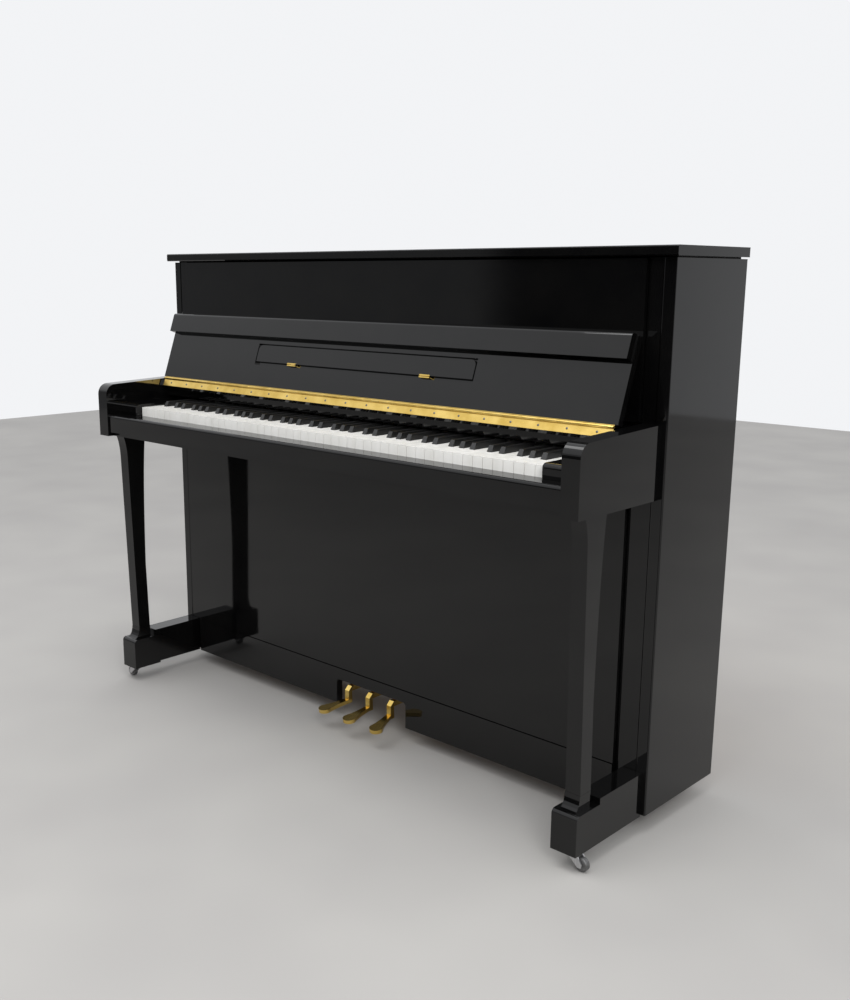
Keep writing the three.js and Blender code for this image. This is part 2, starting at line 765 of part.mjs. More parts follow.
function makeStrings() {
  const half = KEY_HALF_SPAN - 4;
  const hitch = block(-half, half, STRING_Y, STRING_Y + 6, 150, 158);
  const nut = block(-half, half, STRING_Y, STRING_Y + 6, 930, 940);
  const strings = Array.from({ length: HAMMERS }, (_, note) => (
    block(noteX(note) - 0.8, noteX(note) + 0.8, STRING_Y, STRING_Y + 1.6, 152, 1000)
  ));
  add('strings', join([hitch, nut, ...strings]), steel());
}

function makePinBlock() {
  const half = SIDE_INNER - 8;
  const y0 = PLATE_Y + PLATE_THICKNESS + GAP;
  add('pin_block', block(-half, half, y0, POST_FRONT - GAP, 860, 1035), beech());
}

// Ribs stiffen the soundboard behind; the bridge stands on its face and reaches the strings.
function makeSoundboard() {
  const half = SIDE_INNER - 10;
  const front = SOUNDBOARD_Y;
  const back = front + SOUNDBOARD_THICKNESS;
  const board = block(-half, half, front, back, 100, 855);
  const ribs = Array.from({ length: 9 }, (_, i) => {
    const x = (i - 4) * 145;
    return block(x - 10, x + 10, back - 1, back + 16, 130, 830);
  });
  const bridge = block(30, 300, STRING_Y + 8, front + 1, 420, 448);
  add('soundboard', join([board, bridge, ...ribs]), spruce());
}

// Four posts between a top rail and a bottom rail; the bottom rail is cut out for the wheels.
function makeBackFrame() {
  const half = SIDE_INNER - GAP;
  const y0 = POST_FRONT;
  const top = block(-half, half, y0, BACK, 930, SIDE_TOP);
  const bottom = block(-half, half, y0, BACK, 40, 150);
  const posts = [-3, -1, 1, 3].map((step) => {
    const x = step * 200;
    return block(x - 38, x + 38, y0, BACK, 145, 935);
  });
  const slots = [-1, 1].map((side) => {
    const x = side * REAR_WHEEL_X;
    return block(x - 17, x + 17, y0 - 1, BACK + 1, 30, 74);
  });
  const frame = cut(join([top, bottom, ...posts]), slots);
  add('back_frame', frame, beech());
}

// ---------------------------------------------------------------- pedals

// A pedal's lever runs forward under the case, drops down a short neck and ends in a flat
// tongue that widens to a round toe. The outer two tongues are splayed.
function makePedals() {
  const halfNeck = 6.5;
  const neckFront = CASE_FRONT - 20;
  const neckBack = neckFront + 11;
  const tongueLength = 76;
  const tongueThickness = 9;
  const toeRadius = 16;
  const splay = THREE.MathUtils.degToRad(15);
  const droop = THREE.MathUtils.degToRad(8);
  const lever = outline([
    [PEDAL_PIVOT_Y + 12, PEDAL_LEVER_Z - 6],
    [PEDAL_PIVOT_Y + 12, PEDAL_LEVER_Z + 6],
    [neckFront + 10, PEDAL_LEVER_Z + 6],
    [neckFront, PEDAL_LEVER_Z - 4],
    [neckFront, PEDAL_TOP],
    [neckFront + 1, PEDAL_TOP - tongueThickness],
    [neckBack + 1, PEDAL_TOP - tongueThickness],
    [neckBack, PEDAL_LEVER_Z - 6],
  ]);
  const tongue = new THREE.Shape();
  tongue.moveTo(-halfNeck, 8);
  tongue.lineTo(-halfNeck, -2);
  tongue.quadraticCurveTo(-halfNeck, -0.45 * tongueLength, -toeRadius, toeRadius - tongueLength);
  tongue.absarc(0, toeRadius - tongueLength, toeRadius, Math.PI, 2 * Math.PI);
  tongue.quadraticCurveTo(halfNeck, -0.45 * tongueLength, halfNeck, -2);
  tongue.lineTo(halfNeck, 8);
  tongue.closePath();
  ['left', 'middle', 'right'].forEach((word, i) => {
    const x = (i - 1) * PEDAL_SPACING;
    const flat = alongZ(tongue, -tongueThickness, 0, 8);
    flat.rotateX(droop);
    flat.rotateZ((i - 1) * splay);
    flat.translate(x, neckFront, PEDAL_TOP);
    add(`pedal_${word}`, join([alongX(lever, x - halfNeck, x + halfNeck), flat]), brass());
  });
}

// ---------------------------------------------------------------- wheels

// A wheel on the Y axis, centred on the origin, with broken rim edges.
function wheel(radius, width, sides) {
  const rim = 2;
  const half = width / 2;
  const profile = [
    [0, -half],
    [radius - rim, -half],
    [radius, -half + rim],
    [radius, half - rim],
    [radius - rim, half],
    [0, half],
  ].map(([r, h]) => new THREE.Vector2(r, h));
  return new THREE.LatheGeometry(profile, sides);
}

// A caster's fork swivels on a stem let into the toe block. Both forks stand turned outwards.
function makeCasters() {
  const wheelWidth = 12;
  const axle = CASTER_WHEEL_RADIUS - CASE_LIFT;
  const plateTop = TOE_BOTTOM - GAP;
  const plateBottom = plateTop - 4;
  const cheekInner = wheelWidth / 2 + 1;
  const cheekOuter = cheekInner + 2.5;
  onBothSides((word, side) => {
    const x = side * CASTER_X;
    const plate = cylinderAlongZ(15, x, CASTER_Y, plateBottom, plateTop, 20);
    const stem = cylinderAlongZ(
      CASTER_STEM_RADIUS, x, CASTER_Y, plateTop - 1, CASTER_STEM_TOP - GAP, 16,
    );
    const cheek = outline([
      [x - side * 10, plateBottom + 1],
      [x + side * 13, plateBottom + 1],
      [x + side * (CASTER_TRAIL + 5), axle + 2],
      [x + side * (CASTER_TRAIL + 3), axle - 5],
      [x + side * (CASTER_TRAIL - 5), axle - 5],
    ]);
    const cheeks = [-1, 1].map((hand) => {
      const [y0, y1] = spanOnSide(hand, cheekInner, cheekOuter);
      return alongY(cheek, CASTER_Y + y0, CASTER_Y + y1);
    });
    add(`caster_fork_${word}`, join([plate, stem, ...cheeks]), steel());
    const roller = wheel(CASTER_WHEEL_RADIUS, wheelWidth, 24);
    roller.translate(x + side * CASTER_TRAIL, CASTER_Y, axle);
    add(`caster_wheel_${word}`, roller, steel());
  });
}

// The back wheels are larger and run in slots in the back frame, on fixed axles.
function makeRearWheels() {
  onBothSides((word, side) => {
    const roller = wheel(REAR_WHEEL_RADIUS, 24, 28);
    roller.rotateZ(Math.PI / 2);
    roller.translate(side * REAR_WHEEL_X, POST_FRONT + 21, REAR_WHEEL_RADIUS - CASE_LIFT);
    add(`rear_wheel_${word}`, roller, steel());
  });
}

// ---------------------------------------------------------------- assembly

makeSideBoards();
makeStiles();
makeArms();
makeLegs();
makeToes();
makeFrontPanels();
makeBottomRail();
makeBottomBoard();
makeKeyBed();
makeKeySlip();
makeKeyFrame();
makeKeyBlocks();
makeHingeRail();
makeLid();
makeFallboard();
makeLip();
makeMusicShelf();
makeLongHinge();
makeKeys();
makeHammers();
makeDampers();
makeMufflerRail();
makeActionFrame();
makeIronPlate();
makeStrings();
makePinBlock();
makeSoundboard();
makeBackFrame();
makePedals();
makeCasters();
makeRearWheels();

export default piano;
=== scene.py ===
"""Looks for the polished black upright piano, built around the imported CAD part."""

import itertools
import json
import math

import bmesh
import bpy
from mathutils import Matrix, Vector


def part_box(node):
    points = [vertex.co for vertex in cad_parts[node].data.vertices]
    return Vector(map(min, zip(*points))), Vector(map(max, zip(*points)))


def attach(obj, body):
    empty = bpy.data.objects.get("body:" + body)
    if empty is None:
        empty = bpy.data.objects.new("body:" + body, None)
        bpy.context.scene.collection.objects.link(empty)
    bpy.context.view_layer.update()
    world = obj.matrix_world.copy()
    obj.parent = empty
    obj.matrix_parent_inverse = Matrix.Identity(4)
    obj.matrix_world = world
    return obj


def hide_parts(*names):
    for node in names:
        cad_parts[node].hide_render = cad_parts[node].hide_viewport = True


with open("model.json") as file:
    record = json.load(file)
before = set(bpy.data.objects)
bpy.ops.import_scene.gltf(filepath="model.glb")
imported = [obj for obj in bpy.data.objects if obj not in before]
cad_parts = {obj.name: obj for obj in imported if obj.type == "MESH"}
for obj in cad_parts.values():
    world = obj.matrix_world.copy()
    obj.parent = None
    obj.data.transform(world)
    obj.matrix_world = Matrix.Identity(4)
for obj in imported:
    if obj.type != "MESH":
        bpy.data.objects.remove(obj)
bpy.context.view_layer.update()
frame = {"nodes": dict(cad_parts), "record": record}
nodes = frame["nodes"]
MM = 0.001


# ---------------------------------------------------------------- camera

def place_camera():
    """From the treble side in front, a little above the keyboard."""
    data = bpy.data.cameras.new("camera")
    data.sensor_width = 36
    data.lens = 39.57
    data.shift_x = 0.0431
    data.shift_y = 0.0170
    camera = bpy.data.objects.new("camera", data)
    yaw = Matrix.Rotation(0.7672, 4, "Z")
    pitch = Matrix.Rotation(math.pi / 2 - 0.2161, 4, "X")
    roll = Matrix.Rotation(0.0026, 4, "Z")
    place = Matrix.Translation((1.7103, -1.7505, 1.0528))
    camera.matrix_world = place @ yaw @ pitch @ roll
    bpy.context.scene.collection.objects.link(camera)
    bpy.context.scene.camera = camera


place_camera()


# ---------------------------------------------------------------- material helpers

class Nodes:
    """A short way to write a procedural material."""

    def __init__(self, name):
        self.material = bpy.data.materials.new(name)
        self.material.use_nodes = True
        self.tree = self.material.node_tree
        self.surface = self.tree.nodes["Principled BSDF"]

    def add(self, kind, **inputs):
        node = self.tree.nodes.new(kind)
        for key, value in inputs.items():
            node.inputs[key.replace("_", " ")].default_value = value
        return node

    def link(self, source, target):
        self.tree.links.new(source, target)

    def position(self, scale=(1, 1, 1)):
        """Object coordinates, stretched."""
        coordinates = self.add("ShaderNodeTexCoord")
        mapping = self.add("ShaderNodeMapping")
        mapping.inputs["Scale"].default_value = scale
        self.link(coordinates.outputs["Object"], mapping.inputs["Vector"])
        return mapping.outputs["Vector"]

    def noise(self, vector, scale, detail=3.0, roughness=0.5):
        node = self.add("ShaderNodeTexNoise", Scale=scale, Detail=detail, Roughness=roughness)
        self.link(vector, node.inputs["Vector"])
        return node.outputs["Fac"]

    def ramp(self, value, low, high, start=0.0, end=1.0):
        node = self.add("ShaderNodeMapRange")
        node.inputs["From Min"].default_value = start
        node.inputs["From Max"].default_value = end
        node.inputs["To Min"].default_value = low
        node.inputs["To Max"].default_value = high
        self.link(value, node.inputs["Value"])
        return node.outputs["Result"]

    def colours(self, value, first, second, start=0.3, end=0.7):
        node = self.add("ShaderNodeValToRGB")
        node.color_ramp.elements[0].position = start
        node.color_ramp.elements[0].color = (*first, 1)
        node.color_ramp.elements[1].position = end
        node.color_ramp.elements[1].color = (*second, 1)
        self.link(value, node.inputs["Fac"])
        return node.outputs["Color"]

    def bump(self, height, strength, distance):
        node = self.add("ShaderNodeBump")
        node.inputs["Strength"].default_value = strength
        node.inputs["Distance"].default_value = distance
        self.link(height, node.inputs["Height"])
        self.link(node.outputs["Normal"], self.surface.inputs["Normal"])

    def set(self, **inputs):
        for key, value in inputs.items():
            self.surface.inputs[key.replace("_", " ")].default_value = value


def lacquer_material():
    """Polished black polyester: deep black, mirror clear, with faint dust and polishing marks."""
    m = Nodes("black_lacquer")
    m.set(IOR=1.42)
    dust = m.noise(m.position(), 9.0, 5.0, 0.6)
    black = m.colours(dust, (0.0016, 0.0016, 0.0018), (0.0032, 0.0031, 0.0030))
    m.link(black, m.surface.inputs["Base Color"])
    smear = m.noise(m.position((1, 1, 3)), 4.0, 6.0, 0.65)
    m.link(m.ramp(smear, 0.03, 0.085, 0.35, 0.75), m.surface.inputs["Roughness"])
    ripple = m.noise(m.position(), 3.2, 2.0, 0.4)
    m.bump(ripple, 0.05, 0.004)
    return m.material


def ivory_material():
    """Polished white acrylic key tops, very slightly warm."""
    m = Nodes("key_white")
    m.set(IOR=1.49, Coat_Weight=0.3, Coat_Roughness=0.05)
    tone = m.noise(m.position((40, 3, 3)), 1.0, 2.0)
    m.link(m.colours(tone, (0.80, 0.79, 0.75), (0.87, 0.86, 0.83)), m.surface.inputs["Base Color"])
    wear = m.noise(m.position(), 60.0, 4.0)
    m.link(m.ramp(wear, 0.16, 0.30), m.surface.inputs["Roughness"])
    return m.material


def ebony_material():
    """Satin black sharps with fine grain along the key."""
    m = Nodes("key_black")
    grain = m.noise(m.position((900, 30, 900)), 1.0, 4.0)
    black = m.colours(grain, (0.004, 0.004, 0.004), (0.009, 0.009, 0.009))
    m.link(black, m.surface.inputs["Base Color"])
    m.link(m.ramp(grain, 0.30, 0.42), m.surface.inputs["Roughness"])
    m.bump(grain, 0.15, 0.0002)
    return m.material


def brass_material(name, low, high):
    """Polished brass with fine brushing and a few dull patches."""
    m = Nodes(name)
    m.set(Metallic=1.0)
    patch = m.noise(m.position(), 30.0, 4.0)
    m.link(m.colours(patch, (0.62, 0.42, 0.10), (0.82, 0.60, 0.19)), m.surface.inputs["Base Color"])
    brushing = m.noise(m.position((20, 700, 700)), 1.0, 2.0)
    m.link(m.ramp(brushing, low, high), m.surface.inputs["Roughness"])
    m.bump(brushing, 0.08, 0.0002)
    return m.material


def iron_material(name, first, second, roughness):
    """Cast iron under a thin lacquer: an even, slightly pebbled skin."""
    m = Nodes(name)
    m.set(Metallic=0.7)
    skin = m.noise(m.position(), 180.0, 5.0)
    m.link(m.colours(skin, first, second), m.surface.inputs["Base Color"])
    m.link(m.ramp(skin, roughness, roughness + 0.15), m.surface.inputs["Roughness"])
    m.bump(skin, 0.25, 0.0006)
    return m.material


def wood_material(name, first, second, along, roughness):
    """Bare wood with its grain along one axis (0, 1 or 2)."""
    m = Nodes(name)
    stretch = [90.0, 90.0, 90.0]
    stretch[along] = 4.0
    grain = m.noise(m.position(stretch), 1.0, 6.0, 0.6)
    rings = m.add("ShaderNodeTexWave", Scale=0.35, Distortion=6.0, Detail=3.0)
    rings.bands_direction = "X" if along != 0 else "Z"
    m.link(m.position(stretch), rings.inputs["Vector"])
    mix = m.add("ShaderNodeMath")
    mix.operation = "MULTIPLY"
    m.link(grain, mix.inputs[0])
    m.link(m.ramp(rings.outputs["Fac"], 0.75, 1.1), mix.inputs[1])
    m.link(m.colours(mix.outputs["Value"], first, second, 0.25, 0.65), m.surface.inputs["Base Color"])
    m.link(m.ramp(grain, roughness, roughness + 0.2), m.surface.inputs["Roughness"])
    m.bump(grain, 0.3, 0.0005)
    return m.material


def felt_material(name, first, second):
    """Pressed wool felt with a fine fibre."""
    m = Nodes(name)
    m.set(Sheen_Weight=0.4, Roughness=0.95)
    fibre = m.noise(m.position(), 900.0, 4.0)
    m.link(m.colours(fibre, first, second), m.surface.inputs["Base Color"])
    m.bump(fibre, 0.5, 0.0006)
    return m.material


def steel_material(name, roughness):
    """Plain brushed steel."""
    m = Nodes(name)
    m.set(Metallic=1.0)
    brushing = m.noise(m.position((400, 400, 20)), 1.0, 3.0)
    m.link(m.colours(brushing, (0.42, 0.42, 0.43), (0.62, 0.62, 0.63)), m.surface.inputs["Base Color"])
    m.link(m.ramp(brushing, roughness, roughness + 0.15), m.surface.inputs["Roughness"])
    return m.material


MATERIALS = {
    "black_lacquer": lacquer_material(),
    "key_white": ivory_material(),
    "key_black": ebony_material(),
    "hinge_brass": brass_material("hinge_brass", 0.22, 0.38),
    "pedal_brass": brass_material("pedal_brass", 0.12, 0.28),
    "plate_iron": iron_material("plate_iron", (0.42, 0.27, 0.08), (0.55, 0.38, 0.13), 0.35),
    "wheel_iron": iron_material("wheel_iron", (0.10, 0.10, 0.10), (0.17, 0.17, 0.17), 0.4),
    "action_metal": steel_material("action_metal", 0.3),
    "structural_wood": wood_material("structural_wood", (0.36, 0.20, 0.09), (0.60, 0.40, 0.21), 2, 0.5),
    "spruce": wood_material("spruce", (0.50, 0.30, 0.12), (0.72, 0.50, 0.25), 0, 0.35),
    "white_felt": felt_material("white_felt", (0.62, 0.58, 0.50), (0.80, 0.76, 0.68)),
    "black_felt": felt_material("black_felt", (0.012, 0.012, 0.012), (0.035, 0.035, 0.035)),
}
CASTER_STEEL = steel_material("caster_steel", 0.25)


def dress_cad_nodes():
    """Every CAD node gets its slot's material; hard edges get a real small radius."""
    slots = {part["node"]: part["material_slot"] for part in frame["record"]["subparts"]}
    edge_radius = {
        "black_lacquer": 1.6 * MM,
        "key_white": 0.7 * MM,
        "key_black": 0.9 * MM,
        "pedal_brass": 1.2 * MM,
        "hinge_brass": 0.2 * MM,
    }
    for name, slot in slots.items():
        node = nodes[name]
        node.data.materials.clear()
        is_fork = name.startswith("caster_fork")
        node.data.materials.append(CASTER_STEEL if is_fork else MATERIALS[slot])
        if slot in edge_radius:
            bevel = node.modifiers.new("edges", "BEVEL")
            bevel.width = edge_radius[slot]
            bevel.segments = 3
            bevel.limit_method = "ANGLE"
            bevel.angle_limit = math.radians(35)
            bevel.harden_normals = True
        for polygon in node.data.polygons:
            polygon.use_smooth = True


dress_cad_nodes()


# ---------------------------------------------------------------- mesh helpers

def piece(name, mesh_maker, material, body, bevel=0.0):
    """A named mesh object built by mesh_maker(bm), riding on a body."""
    bm = bmesh.new()
    mesh_maker(bm)
    bmesh.ops.recalc_face_normals(bm, faces=bm.faces)
    mesh = bpy.data.meshes.new(name)
    bm.to_mesh(mesh)
    bm.free()
    thing = bpy.data.objects.new(name, mesh)
    bpy.context.scene.collection.objects.link(thing)
    mesh.materials.append(material)
    for polygon in mesh.polygons:
        polygon.use_smooth = True
    edges = thing.modifiers.new("edges", "BEVEL")
    edges.width = bevel if bevel else 0.05 * MM
    edges.segments = 2
    edges.limit_method = "ANGLE"
    edges.angle_limit = math.radians(40)
    edges.harden_normals = True
    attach(thing, body)
    return thing


def bar(bm, low, high, turn=None):
    """A box between two corners, optionally turned by a matrix."""
    corners = [Vector(corner) for corner in itertools.product(*zip(low, high))]
    if turn is not None:
        corners = [turn @ c for c in corners]
    v = [bm.verts.new(c) for c in corners]
    sides = ((0, 1, 3, 2), (4, 6, 7, 5), (0, 4, 5, 1), (2, 3, 7, 6), (0, 2, 6, 4), (1, 5, 7, 3))
    for side in sides:
        bm.faces.new([v[k] for k in side])


def turned(bm, profile, place, sides=16):
    """A surface turned about local z from (radius, height) points; its ends close on the axis."""
    angles = [2 * math.pi * k / sides for k in range(sides)]
    rings = []
    for radius, height in profile:
        if radius == 0:
            points = [Vector((0, 0, height))]
        else:
            points = [Vector((radius * math.cos(t), radius * math.sin(t), height)) for t in angles]
        rings.append([bm.verts.new(place @ point) for point in points])
    for lower, upper in zip(rings, rings[1:]):
        for k in range(sides):
            n = (k + 1) % sides
            if len(lower) == 1:
                bm.faces.new((lower[0], upper[n], upper[k]))
            elif len(upper) == 1:
                bm.faces.new((lower[k], lower[n], upper[0]))
            else:
                bm.faces.new((lower[k], lower[n], upper[n], upper[k]))


def rod(bm, start, end, radius, sides=8):
    """A straight round bar between two points."""
    start, end = Vector(start), Vector(end)
    along = end - start
    place = Matrix.Translation(start) @ along.to_track_quat("Z", "Y").to_matrix().to_4x4()
    turned(bm, [(0, 0), (radius, 0), (radius, along.length), (0, along.length)], place, sides)


def screw_head(bm, place, radius):
    """A low domed screw head with a small recess, standing on local z = 0."""
    recess = radius * 0.16
    shoulder = [(0, 0), (radius, 0), (radius, radius * 0.12)]
    dome = [(radius * 0.75, radius * 0.38), (recess, radius * 0.46)]
    cut = [(recess, radius * 0.2), (0, radius * 0.2)]
    turned(bm, shoulder + dome + cut, place, 14)


def facing(point, normal, up="Y"):
    """A placement whose local z points along the normal."""
    return Matrix.Translation(point) @ Vector(normal).to_track_quat("Z", up).to_matrix().to_4x4()


# ---------------------------------------------------------------- fallboard fittings

leaf_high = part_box("hinge_lower_leaf")[1]
joints = {joint["name"]: joint for joint in frame["record"]["behaviour"]["joints"]}
PIN_RADIUS = 3.0 * MM
PIN_Y, PIN_Z = joints["fallboard_hinge"]["pos_m"][1:]
LEAN = math.radians(19.4)  # of the open fallboard
NOSE_LEAN = math.atan2(6.3, 14)  # of the rail's nose under the hinge


def on_board(x, behind, up):
    """A point given in the open fallboard's own frame, whose origin is the hinge pin."""
    y = PIN_Y + behind * math.cos(LEAN) + up * math.sin(LEAN)
    z = PIN_Z - behind * math.sin(LEAN) + up * math.cos(LEAN)
    return Vector((x, y, z))


BOARD_TURN = Matrix.Translation(on_board(0, 0, 0)) @ Matrix.Rotation(-LEAN, 4, "X")


def hinge_knuckles(bm):
    """The long hinge's rolled knuckles, cut every inch, with a fine gap between them."""
    pitch = 25.4 * MM
    half_knuckle = pitch * 0.485
    radius = PIN_RADIUS + 0.35 * MM
    count = int(2 * leaf_high.x / pitch)
    for k in range(count):
        x = (k - (count - 1) / 2) * pitch
        rod(bm, (x - half_knuckle, PIN_Y, PIN_Z), (x + half_knuckle, PIN_Y, PIN_Z), radius, 12)


def hinge_screws(bm):
    """A row of screws through the lower leaf, which lies on the rail's sloped nose."""
    pitch = 64 * MM
    leaf_face = 1.7 * MM
    row = 7 * MM
    out = Vector((0, -math.cos(NOSE_LEAN), math.sin(NOSE_LEAN)))
    down = Vector((0, -math.sin(NOSE_LEAN), -math.cos(NOSE_LEAN)))
    nose_top = Vector((0, PIN_Y + 1 * MM, PIN_Z - 5 * MM))
    for k in range(-10, 11):
        point = nose_top + leaf_face * out + row * down + Vector((k * pitch, 0, 0))
        screw_head(bm, facing(point, out, "X"), 2.4 * MM)


BRASS = MATERIALS["hinge_brass"]
piece("hinge_knuckles", hinge_knuckles, BRASS, "case", 0.25 * MM)
piece("hinge_screws", hinge_screws, MATERIALS["wheel_iron"], "case")

SHELF_HINGE_X = 205 * MM
SHELF_HINGE_HALF = 14 * MM
SHELF_BOTTOM = 64 * MM  # up the fallboard from its hinge pin


def shelf_hinge_brackets(bm):
    """Two small brackets, let into the fallboard's recess under the shelf."""
    for side in (-1, 1):
        x = side * SHELF_HINGE_X
        low = (x - SHELF_HINGE_HALF, 1 * MM, SHELF_BOTTOM - 5 * MM)
        bar(bm, low, (x + SHELF_HINGE_HALF, 9.6 * MM, SHELF_BOTTOM - 2.4 * MM), BOARD_TURN)


def shelf_hinge_leaves(bm):
    """The knuckle and the thin leaf on the shelf's lower edge."""
    for side in (-1, 1):
        x = side * SHELF_HINGE_X
        low = (x - SHELF_HINGE_HALF, 0.8 * MM, SHELF_BOTTOM - 0.2 * MM)
        bar(bm, low, (x + SHELF_HINGE_HALF, 1.6 * MM, SHELF_BOTTOM + 2 * MM), BOARD_TURN)
        knuckle_up = SHELF_BOTTOM - 0.9 * MM
        start = on_board(x - SHELF_HINGE_HALF, 1 * MM, knuckle_up)
        rod(bm, start, on_board(x + SHELF_HINGE_HALF, 1 * MM, knuckle_up), 1.1 * MM, 12)


piece("shelf_hinge_brackets", shelf_hinge_brackets, BRASS, "fallboard", 0.2 * MM)
piece("shelf_hinge_leaves", shelf_hinge_leaves, BRASS, "music_shelf", 0.2 * MM)


# ---------------------------------------------------------------- lid fittings

lid_low, lid_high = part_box("lid")


def lid_felts(bm):
    """Felt strips along the tops of the side boards and the back frame keep the lid off them."""
    inset = 4 * MM
    for name in ("side_board_left", "side_board_right"):
        low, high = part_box(name)
        front = low.y + 12 * MM
        bar(bm, (low.x + inset, front, high.z), (high.x - inset, lid_high.y - inset, lid_low.z))
    low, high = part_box("back_frame")
    bar(bm, (low.x, low.y + inset, high.z), (high.x, low.y + 10 * MM, lid_low.z))


LID_HINGES = (-0.45, 0, 0.45)
LID_HINGE_HALF = 35 * MM
LID_PIN_Y, LID_PIN_Z = joints["lid_hinge"]["pos_m"][1:]


def lid_hinge_leaves(bm):
    """Leaves of the lid's three butt hinges, screwed to the top of the back frame."""
    frame_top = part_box("back_frame")[1].z
    for x in LID_HINGES:
        low = (x - LID_HINGE_HALF, LID_PIN_Y - 26 * MM, frame_top - 0.2 * MM)
        bar(bm, low, (x + LID_HINGE_HALF, LID_PIN_Y - 1.7 * MM, frame_top + 1.4 * MM))


def lid_hinge_pins(bm):
    for x in LID_HINGES:
        end = (x + LID_HINGE_HALF, LID_PIN_Y, LID_PIN_Z)
        rod(bm, (x - LID_HINGE_HALF, LID_PIN_Y, LID_PIN_Z), end, 1.4 * MM, 14)


piece("lid_felts", lid_felts, MATERIALS["black_felt"], "case", 0.2 * MM)
piece("lid_hinge_leaves", lid_hinge_leaves, BRASS, "case", 0.3 * MM)
piece("lid_hinge_pins", lid_hinge_pins, BRASS, "lid", 0.2 * MM)


# ---------------------------------------------------------------- action and strings

NOTES = 88
string_low, string_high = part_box("strings")
hammer_low, hammer_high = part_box("hammers")
plate_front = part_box("iron_plate")[0].y
NOTE_PITCH = (hammer_high.x - hammer_low.x - 20 * MM) / NOTES
SINGLE_STRINGS = 10  # the lowest notes, with one wound string each
DOUBLE_STRINGS = 26  # below this note the strings are wound, in pairs


def note_x(note):
    return (note - (NOTES - 1) / 2) * NOTE_PITCH


def strings_of(note):
    """(x offset, radius) of each string of a note."""
    if note < SINGLE_STRINGS:
        return [(0, 2.1 * MM)]
    if note < DOUBLE_STRINGS:
        return [(-2.6 * MM, 1.3 * MM), (2.6 * MM, 1.3 * MM)]
    return [(offset * 3 * MM, 0.5 * MM) for offset in (-1, 0, 1)]


def draw_strings(bm, first, last):
    """The strings of the notes from first up to, but not including, last."""
    for note in range(first, last):
        for offset, radius in strings_of(note):
            x = note_x(note) + offset
            y = string_low.y + 0.8 * MM
            rod(bm, (x, y, string_low.z), (x, y, string_high.z - 20 * MM), radius, 6)


def string_bars(bm):
    """The bars that the strings bear on, below and above their speaking lengths."""
    half = 608 * MM
    back = string_low.y + 6 * MM
    bar(bm, (-half, string_low.y, 166 * MM), (half, back, 174 * MM))
    bar(bm, (-half, string_low.y + 1.4 * MM, 946 * MM), (half, back, 956 * MM))


def tuning_pins(bm):
    """One pin for each string, in rows that stagger from note to note."""
    row = 16 * MM
    stagger = 7 * MM
    for note in range(NOTES):
        for k, (offset, _) in enumerate(strings_of(note)):
            x = note_x(note) + offset
            z = string_high.z - 24 * MM + k * row + (note % 2) * stagger
            radius = 3.2 * MM if k == 1 else 3.4 * MM
            rod(bm, (x, plate_front + 1 * MM, z), (x, plate_front - 24 * MM, z), radius, 8)


def bass_strings(bm):
    draw_strings(bm, 0, DOUBLE_STRINGS)


def plain_strings(bm):
    draw_strings(bm, DOUBLE_STRINGS, NOTES)


copper = brass_material("copper_winding", 0.3, 0.45)
STEEL = MATERIALS["action_metal"]
piece("bass_strings", bass_strings, copper, "case")
wires = piece("plain_strings", plain_strings, STEEL, "case")
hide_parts("strings")
piece("string_bars", string_bars, BRASS, "case", 0.5 * MM)
piece("tuning_pins", tuning_pins, STEEL, "case", 0.3 * MM)

HAMMER_RAIL_Y = hammer_low.y + 12 * MM
HAMMER_RAIL_Z = hammer_low.z + 9 * MM


def hammer_wood(bm):
    """The rail, and on it a round shank and a wooden head for each note."""
    half = hammer_high.x
    rail_low = (-half, HAMMER_RAIL_Y - 8 * MM, HAMMER_RAIL_Z - 9 * MM)
    bar(bm, rail_low, (half, HAMMER_RAIL_Y + 8 * MM, HAMMER_RAIL_Z + 9 * MM))
    for note in range(NOTES):
        x = note_x(note)
        foot = Vector((x, HAMMER_RAIL_Y, HAMMER_RAIL_Z))
        rod(bm, foot, foot + Vector((0, 0, 100 * MM)), 2.6 * MM, 8)
        head_low = (x - 4 * MM, HAMMER_RAIL_Y - 12 * MM, HAMMER_RAIL_Z + 97 * MM)
        bar(bm, head_low, (x + 4 * MM, HAMMER_RAIL_Y + 18 * MM, HAMMER_RAIL_Z + 108 * MM))


def hammer_heads(bm):
    """Pear-shaped felts: a thin-ended teardrop seen from the side."""
    steps = 14
    half_width = 4.4 * MM
    for note in range(NOTES):
        x = note_x(note)
        size = 1.0 - 0.35 * note / NOTES  # the treble hammers are smaller
        ring = []
        for k in range(steps):
            t = 2 * math.pi * k / steps
            reach = 14 * MM + 16 * MM * size * (1 - math.cos(t)) / 2
            y = HAMMER_RAIL_Y + 36 * MM - (1 + math.cos(t)) / 2 * reach
            z = HAMMER_RAIL_Z + 102 * MM + math.sin(t) * 9 * MM * size * (0.55 + 0.45 * math.cos(t))
            ring.append((y, z))
        sides = []
        for edge in (-half_width, half_width):
            sides.append([bm.verts.new((x + edge, y, z)) for y, z in ring])
        bm.faces.new(sides[0])
        bm.faces.new(reversed(sides[1]))
        for k in range(steps):
            n = (k + 1) % steps
            bm.faces.new((sides[0][n], sides[0][k], sides[1][k], sides[1][n]))


hammer_action = piece("hammer_wood", hammer_wood, MATERIALS["spruce"], "hammers", 0.5 * MM)
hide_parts("hammers")
piece("hammer_felts", hammer_heads, MATERIALS["white_felt"], "hammers", 0.5 * MM)


# ---------------------------------------------------------------- back and wheels

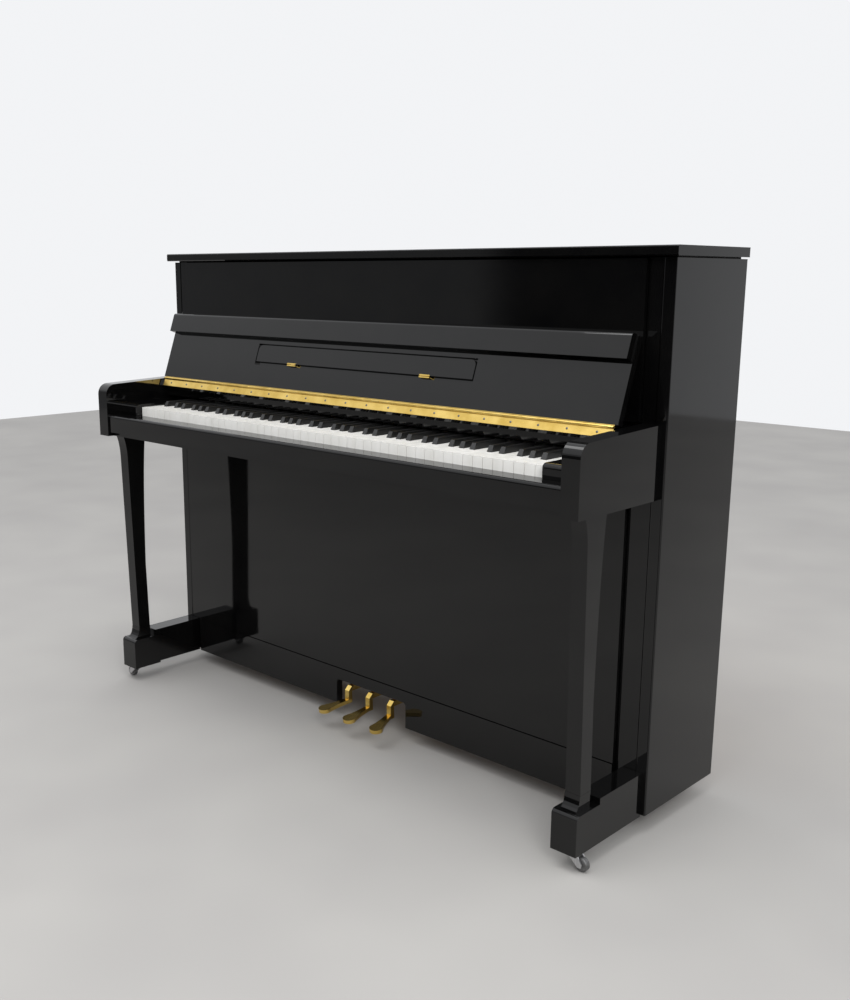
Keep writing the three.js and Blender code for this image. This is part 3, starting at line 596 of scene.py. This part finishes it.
def rear_wheel_brackets(bm):
    """Steel forks that hold the back wheels in the bottom rail."""
    half_plate = 1.2 * MM
    bottom = 22 * MM
    top = 89 * MM
    for name in ("rear_wheel_left", "rear_wheel_right"):
        low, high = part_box(name)
        middle = (low + high) / 2
        for side in (-1, 1):
            x = middle.x + side * (high.x - middle.x + 2 * MM)
            plate_low = (x - half_plate, middle.y - 12 * MM, bottom)
            bar(bm, plate_low, (x + half_plate, middle.y + 12 * MM, top))
        axle_end = (high.x + 4 * MM, middle.y, middle.z)
        rod(bm, (low.x - 4 * MM, middle.y, middle.z), axle_end, 4 * MM, 14)


def back_screws(bm):
    """Pairs of sunk screws where the back posts meet the top and bottom rails."""
    low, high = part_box("back_frame")
    posts = (-0.6, -0.2, 0.2, 0.6)
    rows = (low.z + 40 * MM, low.z + 85 * MM, high.z - 40 * MM, high.z - 100 * MM)
    half_spacing = 18 * MM
    sunk = 2.2 * MM
    for post in posts:
        for z in rows:
            for x in (post - half_spacing, post + half_spacing):
                screw_head(bm, facing((x, high.y - sunk, z), (0, 1, 0), "X"), 5 * MM)


piece("rear_wheel_brackets", rear_wheel_brackets, STEEL, "case", 0.4 * MM)
piece("back_screws", back_screws, MATERIALS["wheel_iron"], "case")


# ---------------------------------------------------------------- studio

def stage_floor():
    """A plain pale floor that runs well past the camera's view."""
    bpy.ops.mesh.primitive_plane_add(size=12, location=(0, 0, 0))
    floor = bpy.context.object
    floor.name = "floor"
    m = Nodes("floor")
    tone = m.noise(m.position(), 2.0, 2.0)
    m.link(m.colours(tone, (0.33, 0.32, 0.31), (0.37, 0.36, 0.345)), m.surface.inputs["Base Color"])
    m.set(Roughness=0.9)
    floor.data.materials.append(m.material)


def area_light(name, location, target, size, power):
    """A rectangular lamp turned towards a target."""
    data = bpy.data.lights.new(name, "AREA")
    data.shape = "RECTANGLE"
    data.size, data.size_y = size
    data.energy = power
    light = bpy.data.objects.new(name, data)
    light.location = location
    direction = Vector(target) - Vector(location)
    light.rotation_euler = direction.to_track_quat("-Z", "Y").to_euler()
    bpy.context.scene.collection.objects.link(light)


def soft_room(tree):
    """A pale room: bright behind the piano and overhead, dim in front of it."""
    direction = tree.nodes.new("ShaderNodeTexCoord").outputs["Generated"]
    split = tree.nodes.new("ShaderNodeSeparateXYZ")
    tree.links.new(direction, split.inputs["Vector"])

    def fade(axis, start, end, low, high):
        node = tree.nodes.new("ShaderNodeMapRange")
        node.interpolation_type = "SMOOTHSTEP"
        for key, number in (("From Min", start), ("From Max", end), ("To Min", low), ("To Max", high)):
            node.inputs[key].default_value = number
        tree.links.new(split.outputs[axis], node.inputs["Value"])
        return node.outputs["Result"]

    def combine(operation, first, second):
        node = tree.nodes.new("ShaderNodeMath")
        node.operation = operation
        tree.links.new(first, node.inputs[0])
        tree.links.new(second, node.inputs[1])
        return node.outputs["Value"]

    towards_wall = fade("Y", -0.25, 0.35, 0.0, 0.92)
    treble_shade = fade("X", 0.05, 0.35, 1.0, 0.78)
    wall_behind = combine("MULTIPLY", towards_wall, treble_shade)
    wall_in_front = fade("X", -0.64, -0.60, 0.28, 0.02)
    ceiling = combine("ADD", fade("Z", 0.05, 0.45, 0.0, 1.15), fade("Z", 0.6, 0.9, 0.0, 0.1))
    return combine("MAXIMUM", combine("MAXIMUM", wall_behind, wall_in_front), ceiling)


def light_the_studio():
    world = bpy.data.worlds.new("studio")
    bpy.context.scene.world = world
    world.use_nodes = True
    background = world.node_tree.nodes["Background"]
    background.inputs["Color"].default_value = (0.97, 0.98, 1.0, 1)
    world.node_tree.links.new(soft_room(world.node_tree), background.inputs["Strength"])
    area_light("window", (3.4, -2.4, 2.8), (0, 0, 0.7), (1.4, 1.4), 70)
    area_light("ceiling", (0.2, -0.9, 3.0), (0, -0.3, 0.5), (2.4, 1.6), 50)


stage_floor()
light_the_studio()
bpy.context.scene.view_settings.view_transform = "Standard"
